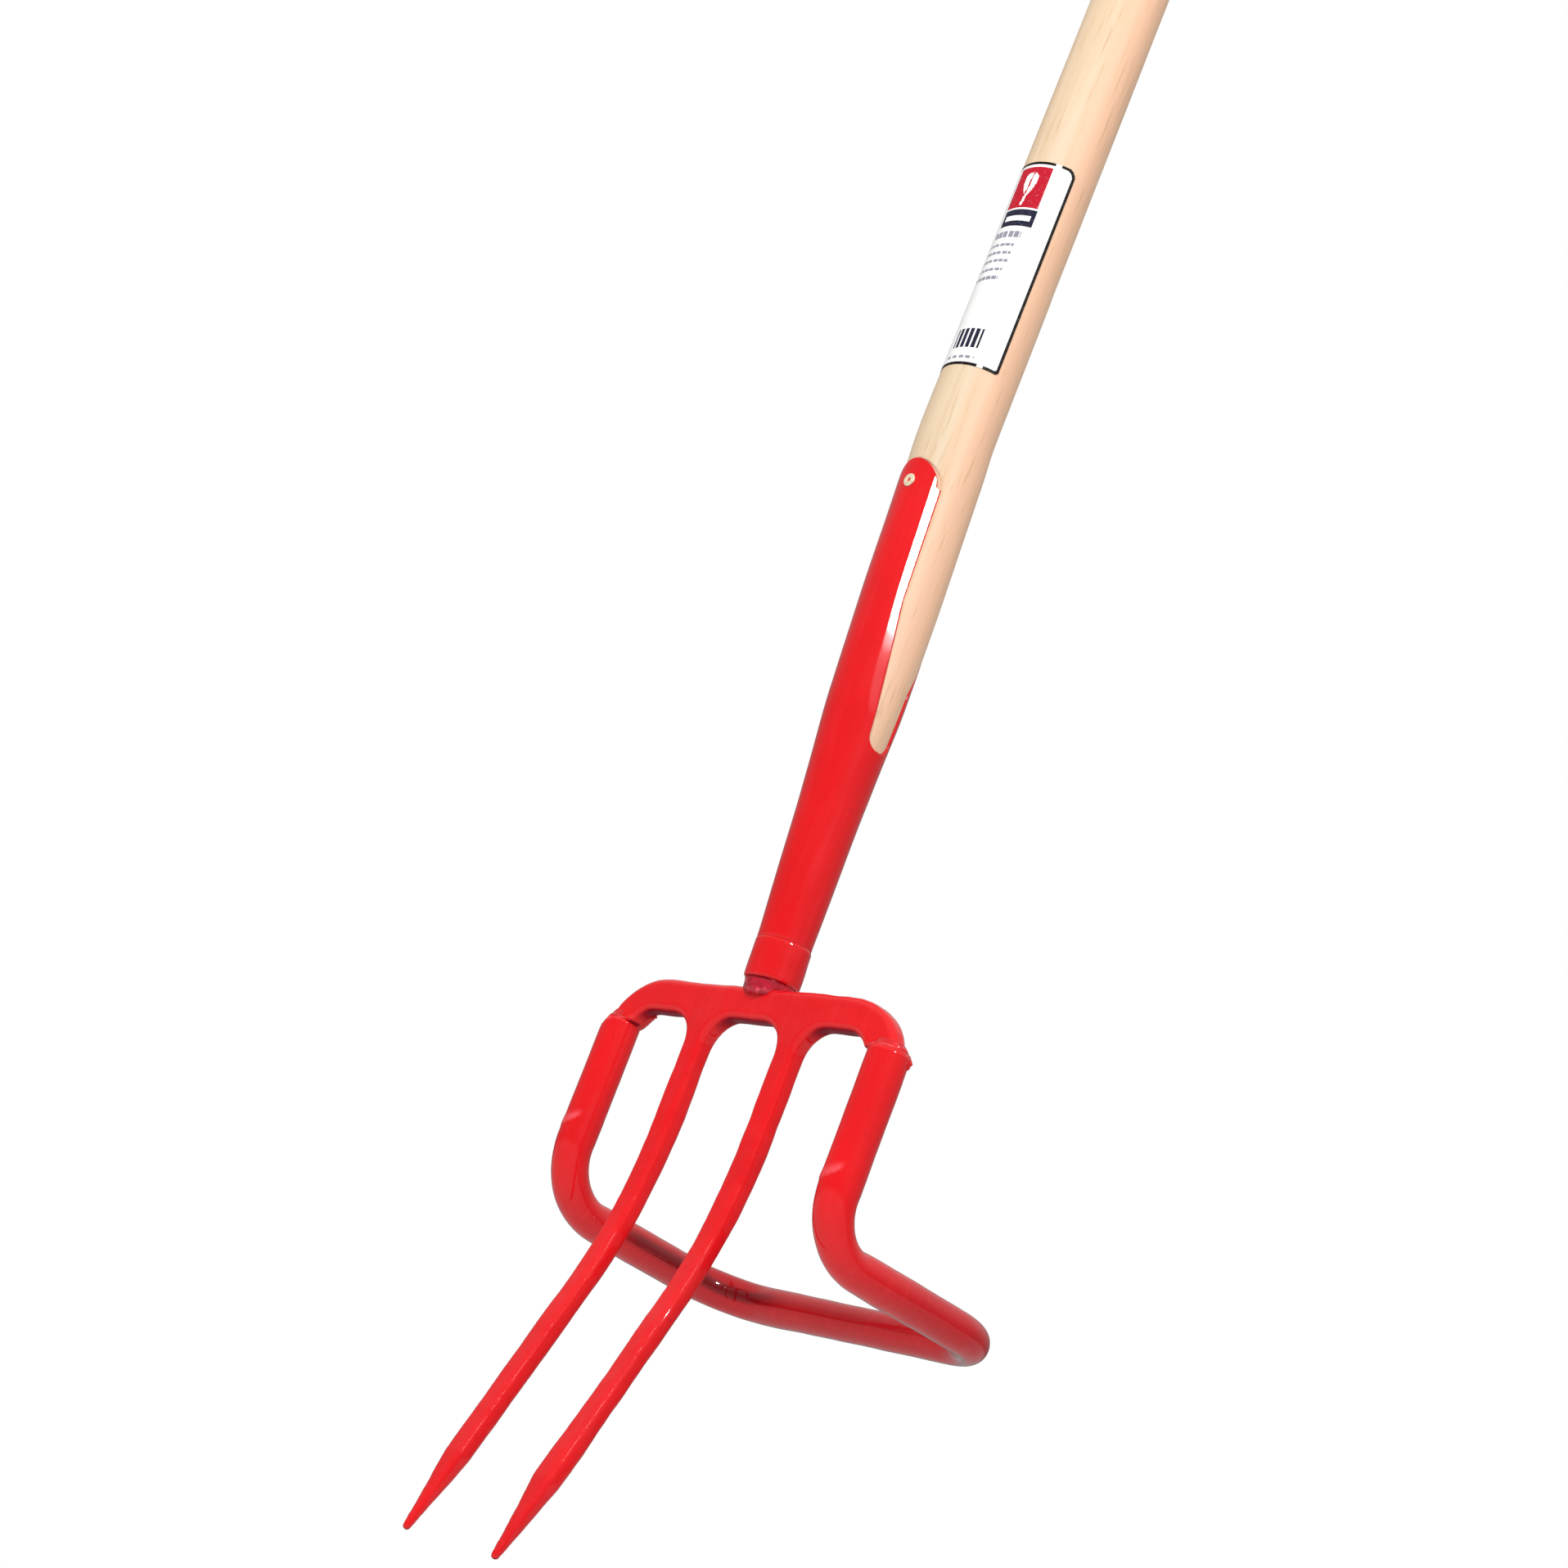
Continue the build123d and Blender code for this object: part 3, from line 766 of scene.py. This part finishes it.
# --- shaft --------------------------------------------------------------------------------------
FIT_GAP = 0.45
STRAP_BEDDING = 0.15
SHAFT_BEND_RADIUS = 520.0
BEND_REACH = SHAFT_BEND_RADIUS * np.tan(BEND_ANGLE / 2)
END_ROUNDING = 10.0


def shaft_centre(travel):
    """Frame across the shaft, in shaft millimetres, at a distance from the socket's foot."""
    bend_start = BEND_HEIGHT - BEND_REACH
    bend_length = SHAFT_BEND_RADIUS * BEND_ANGLE
    if travel <= bend_start:
        angle = BEND_ANGLE
        place = Matrix.Rotation(angle, 3, "X") @ Vector((0, 0, travel - BEND_HEIGHT))
    elif travel < bend_start + bend_length:
        angle = BEND_ANGLE - (travel - bend_start) / SHAFT_BEND_RADIUS
        place = Vector(
            (0, SHAFT_BEND_RADIUS * (1 - cos(angle)), BEND_REACH - SHAFT_BEND_RADIUS * sin(angle))
        )
    else:
        angle = 0.0
        place = Vector((0, 0, BEND_REACH + travel - bend_start - bend_length))
    return place, Matrix.Rotation(angle, 3, "X")


WOOD_LINE = (
    [28.0, 98.0, 130.0, 152.0, 215.0, 286.0, BEND_HEIGHT, BEND_HEIGHT + GRIP_START],
    [12.0, 14.8, 17.2, 18.7, 19.5, 19.8, SHAFT_RADIUS, GRIP_RADIUS],
)
SIDE_LIFT = 1.0
wood_radius = eased(*WOOD_LINE)


def recess_radius(height):
    """Wood below a strap."""
    return socket_radius(height) - SOCKET_WALL - STRAP_BEDDING


def strap_fit(angle, height):
    """Extra wood towards the back strap, which is let into the shaft more than the front one."""
    share = float(smoothstep(radians(75), radians(120), angle))
    low = float(smoothstep(140, 190, height))
    high = 1 - float(smoothstep(284, 310, height))
    return SIDE_LIFT * share * low * high


def shaft_piece():
    heights = list(np.arange(30, 128, 14.0)) + list(np.arange(128.0, 139.0, 0.55))
    heights += list(np.arange(139.5, 266, 2.2)) + list(np.arange(266, 287.5, 0.55))
    heights += list(np.arange(288, 330, 2.0))
    total = BEND_HEIGHT + SHAFT_ABOVE_BEND - 0.02
    straight_end = total - END_ROUNDING
    heights += list(np.arange(332, straight_end, 6.0))
    heights += [straight_end + END_ROUNDING * sin(pi / 2 * k / 12) for k in range(13)]
    verts = []
    for height in heights:
        place, turn = shaft_centre(height)
        in_strap = SLOT_FOOT < height < STRAP_TOP + FIT_GAP
        above = height >= STRAP_TOP + FIT_GAP
        wood = wood_radius(height) if height < 400 else GRIP_RADIUS
        if above:
            spread = min(1.0, (height - STRAP_TOP) / 40.0)
            first = (1 - spread) * 0.02 + spread * 1.05
            last = pi - first
        else:
            first, last = slot_span(height, wood, FIT_GAP)
        rounding = min(0.38 / wood, (last - first) * 0.2)
        side = [(angle, False) for angle in np.linspace(0, first, 12)]
        side += [(first + 1e-4, False), (first + rounding, True)]
        side += [(angle, True) for angle in np.linspace(first + rounding, last - rounding, 30)[1:]]
        side += [(last - 1e-4, False)]
        side += [(angle, False) for angle in np.linspace(last, pi, 12)]
        both = side + [(2 * pi - angle, bare) for angle, bare in reversed(side[1:-1])]
        shrink = 0.0
        if height > straight_end:
            drop = height - straight_end
            shrink = END_ROUNDING - sqrt(max(0.0, END_ROUNDING**2 - drop**2))
        for angle, bare in both:
            radius = recess_radius(height)
            if above or (in_strap and bare):
                radius = wood + strap_fit(min(angle, 2 * pi - angle), height)
                radius += 0.12 * hammered((30 * sin(angle), 30 * cos(angle), height * 0.25), 14.0, 21)
            radius -= shrink
            spot = place + turn @ Vector((radius * sin(angle), -radius * cos(angle), 0))
            verts.append(spot)
    columns = len(both)
    faces = grid_faces(len(heights), columns)
    faces.append(cap_face(0, columns, True))
    faces.append(cap_face((len(heights) - 1) * columns, columns, False))
    return add_mesh("ash_shaft", [tuple(v) for v in verts], faces, ["handle"], SHAFT_FRAME)


shaft = shaft_piece()
shaft.data.materials.append(ash_wood("ash_grain"))


# --- label --------------------------------------------------------------------------------------
LABEL_LOW, LABEL_HIGH = 36.0, 163.0
LABEL_ANGLE = 73.0
LABEL_LINE = 1.9
LABEL_CORNER = 5.0
LABEL_LOW_CORNER = 2.2
LABEL_GRID = 0.55
LABEL_LIFT = 0.24


def shaft_radius(height):
    share = np.clip(height / GRIP_START, 0, 1)
    return SHAFT_RADIUS + (GRIP_RADIUS - SHAFT_RADIUS) * share


def label_piece():
    """Label as a fine grid whose faces take the ink of the mark they lie in."""
    half = radians(LABEL_ANGLE) * SHAFT_RADIUS
    columns = int(2 * half / LABEL_GRID) + 1
    rows = int((LABEL_HIGH - LABEL_LOW) / LABEL_GRID) + 1
    across = np.linspace(-half, half, columns)
    up = np.linspace(LABEL_LOW, LABEL_HIGH, rows)
    verts, faces, inks = [], [], []
    for z in up:
        for u in across:
            x, y = label_point(u, z)
            verts.append((x, y, z))
    for i in range(rows - 1):
        for j in range(columns - 1):
            u = (across[j] + across[j + 1]) / 2
            z = (up[i] + up[i + 1]) / 2
            ink = label_ink(u, z, half)
            if ink is None:
                continue
            a = i * columns + j
            faces.append((a, a + 1, a + columns + 1, a + columns))
            inks.append(ink)
    piece = add_mesh("paper_label", verts, faces, ["shaft_label"], SHAFT_FRAME)
    piece.data.materials.append(label_stock("label_stock"))
    for name, ink in (
        ("ink_black", (0.010, 0.008, 0.007)),
        ("ink_red", (0.52, 0.012, 0.03)),
        ("ink_navy", (0.020, 0.020, 0.045)),
        ("ink_grey", (0.30, 0.29, 0.36)),
    ):
        piece.data.materials.append(printed(name, ink))
    for polygon, ink in zip(piece.data.polygons, inks):
        polygon.material_index = ink
    return piece


def label_point(u, z):
    angle = u / SHAFT_RADIUS
    radius = shaft_radius(z) + LABEL_LIFT
    return radius * sin(angle), -radius * cos(angle)


PAPER, BLACK, RED, NAVY, GREY = range(5)


def in_leaf(u, z):
    """A plain two-lobed leaf with a stalk, left pale in the red block."""
    across, up = (u - 3.0) / 4.6, (z - 149.0) / 7.5
    blade = across**2 * (1.4 - up) + up**2 < 0.9 and abs(across - 0.12 * up) > 0.10
    stalk = abs(u - 3.0 - 0.15 * (z - 141)) < 0.8 and 135.5 < z < 142.5
    return blade or stalk


# Rows of dashes that stand for small print: height, half height and right-hand end in degrees.
DASH_ROWS = [
    (117.0, 1.9, 28),
    (110.5, 0.8, 22),
    (105.3, 0.8, 22),
    (100.3, 0.8, 22),
    (95.0, 0.9, 20),
    (89.5, 0.9, 18),
]


def label_ink(u, z, half):
    """Which ink lies at a point of the label; None outside its rounded outline."""
    du = half - abs(u)
    dz = min(z - LABEL_LOW, LABEL_HIGH - z)
    edge = min(du, dz)
    corner = LABEL_CORNER if z > (LABEL_LOW + LABEL_HIGH) / 2 else LABEL_LOW_CORNER
    if du < corner and dz < corner:
        edge = corner - sqrt((corner - du) ** 2 + (corner - dz) ** 2)
    if edge < 0:
        return None
    angle = degrees(u / SHAFT_RADIUS)
    if edge < LABEL_LINE:
        broken = dz < LABEL_LINE and 39 < abs(angle) < 48
        return PAPER if broken else BLACK
    if 134.0 < z < 159.5 and -21 < angle < 37:
        return PAPER if in_leaf(u, z) else RED
    if 122.0 < z < 132.5 and -20 < angle < 38:
        stripe = 125.6 < z < 128.8 and -14 < angle < 32
        return PAPER if stripe else NAVY
    for centre, half_height, right in DASH_ROWS:
        dash = (angle * 1.7 + centre * 3.1) % 17 < 13.5
        if abs(z - centre) < half_height and right - 50 < angle < right and dash:
            return GREY
    if 46.5 < z < 58.0 and -17 < angle < 31 and (angle + 19) % 9.4 < 6.0:
        return NAVY
    if 40.0 < z < 41.6 and -19 < angle < 30 and (angle + 19) % 12 < 8:
        return GREY
    return PAPER


label_piece()


# --- stage, light and camera --------------------------------------------------------------------
def stage_floor():
    mesh = bpy.data.meshes.new("studio_floor")
    size, height = 6.0, -0.30
    mesh.from_pydata(
        [(-size, -size, height), (size, -size, height), (size, size, height), (-size, size, height)],
        [],
        [(0, 1, 2, 3)],
    )
    floor = bpy.data.objects.new("studio_floor", mesh)
    bpy.context.scene.collection.objects.link(floor)
    s = Shader("studio_floor")
    cloud = s.noise(cubic(3.0), detail=2.0)
    s.set(Base_Color=s.ramp(cloud, [(0.3, (0.80, 0.80, 0.80)), (0.7, (0.84, 0.84, 0.84))]), Roughness=0.6)
    mesh.materials.append(s.material)
    floor.visible_diffuse = False
    floor.visible_glossy = False


stage_floor()

CAMERA_PLACE = Vector((1.08882, -0.96568, -0.06060))
CAMERA_YAW = radians(50.908)
CAMERA_PITCH = radians(17.928)
CAMERA_ROLL = radians(21.839)
CAMERA_LENS = 69.09

camera_data = bpy.data.cameras.new("camera")
camera_data.lens = CAMERA_LENS
camera_data.sensor_width = 36.0
camera_data.shift_x = -0.0007
camera_data.clip_end = 100.0
camera = bpy.data.objects.new("camera", camera_data)
camera.matrix_world = (
    Matrix.Translation(CAMERA_PLACE)
    @ Matrix.Rotation(CAMERA_YAW, 4, "Z")
    @ Matrix.Rotation(pi / 2 + CAMERA_PITCH, 4, "X")
    @ Matrix.Rotation(CAMERA_ROLL, 4, "Z")
)
bpy.context.scene.collection.objects.link(camera)
bpy.context.scene.camera = camera
CENTRE_OF_VIEW = Vector((0, 0, 0.32))


def softbox(name, direction, distance, width, height, power, glossy=True, diffuse=True):
    """Area light that looks at the tool from a direction of the row frame."""
    data = bpy.data.lights.new(name, "AREA")
    data.shape = "RECTANGLE"
    data.size, data.size_y = width, height
    data.energy = power
    lamp = bpy.data.objects.new(name, data)
    offset = Vector(direction).normalized() * distance
    lamp.location = CENTRE_OF_VIEW + offset
    lamp.rotation_euler = offset.to_track_quat("Z", "Y").to_euler()
    lamp.visible_glossy = glossy
    lamp.visible_diffuse = diffuse
    bpy.context.scene.collection.objects.link(lamp)


softbox("key_front", (0.40, -0.78, 0.48), 2.4, 1.6, 1.4, 45, glossy=False)
softbox("right_fill", (0.85, 0.42, 0.30), 2.2, 1.2, 1.4, 8, glossy=False)
softbox("strap_glint", (0.886, -0.279, 0.4615), 1.84, 0.24, 0.24, 20, diffuse=False)
softbox("edge_sheen", (0.7023, -0.6236, 0.3438), 1.905, 0.24, 0.12, 0.45, diffuse=False)

world = bpy.data.worlds.new("studio")
world.use_nodes = True
bpy.context.scene.world = world
tree = world.node_tree
tree.nodes.clear()
heading = tree.nodes.new("ShaderNodeSeparateXYZ")
tree.links.new(tree.nodes.new("ShaderNodeTexCoord").outputs["Generated"], heading.inputs[0])


def by_height(stops):
    """Grey that depends on how far up a ray goes, from 0 straight down to 1 straight up."""
    rise = tree.nodes.new("ShaderNodeMapRange")
    rise.inputs["From Min"].default_value = -1.0
    tree.links.new(heading.outputs["Z"], rise.inputs["Value"])
    ramp = tree.nodes.new("ShaderNodeValToRGB")
    elements = ramp.color_ramp.elements
    while len(elements) < len(stops):
        elements.new(0.5)
    for element, (place, grey) in zip(elements, stops):
        element.position = place
        element.color = (grey, grey, grey, 1.0)
    tree.links.new(rise.outputs["Result"], ramp.inputs["Fac"])
    return ramp.outputs["Color"]


def background(colour):
    node = tree.nodes.new("ShaderNodeBackground")
    if isinstance(colour, bpy.types.NodeSocket):
        tree.links.new(colour, node.inputs["Color"])
    else:
        node.inputs["Color"].default_value = colour
    return node.outputs[0]


def choose(flag, otherwise, chosen):
    node = tree.nodes.new("ShaderNodeMixShader")
    tree.links.new(flag, node.inputs[0])
    tree.links.new(otherwise, node.inputs[1])
    tree.links.new(chosen, node.inputs[2])
    return node.outputs[0]


rays = tree.nodes.new("ShaderNodeLightPath").outputs
soft_room = background(by_height([(0.0, 1.05), (0.42, 0.40), (0.62, 0.42), (1.0, 0.46)]))
mirrored_room = background(
    by_height([(0.0, 0.7), (0.25, 0.6), (0.33, 0.5), (0.46, 0.5), (0.52, 0.14), (0.66, 0.28), (0.80, 0.6)])
)
lit = choose(rays["Is Glossy Ray"], soft_room, mirrored_room)
seen = choose(rays["Is Camera Ray"], lit, background((1, 1, 1, 1)))
world_output = tree.nodes.new("ShaderNodeOutputWorld")
tree.links.new(seen, world_output.inputs["Surface"])

bpy.context.scene.view_settings.view_transform = "Standard"
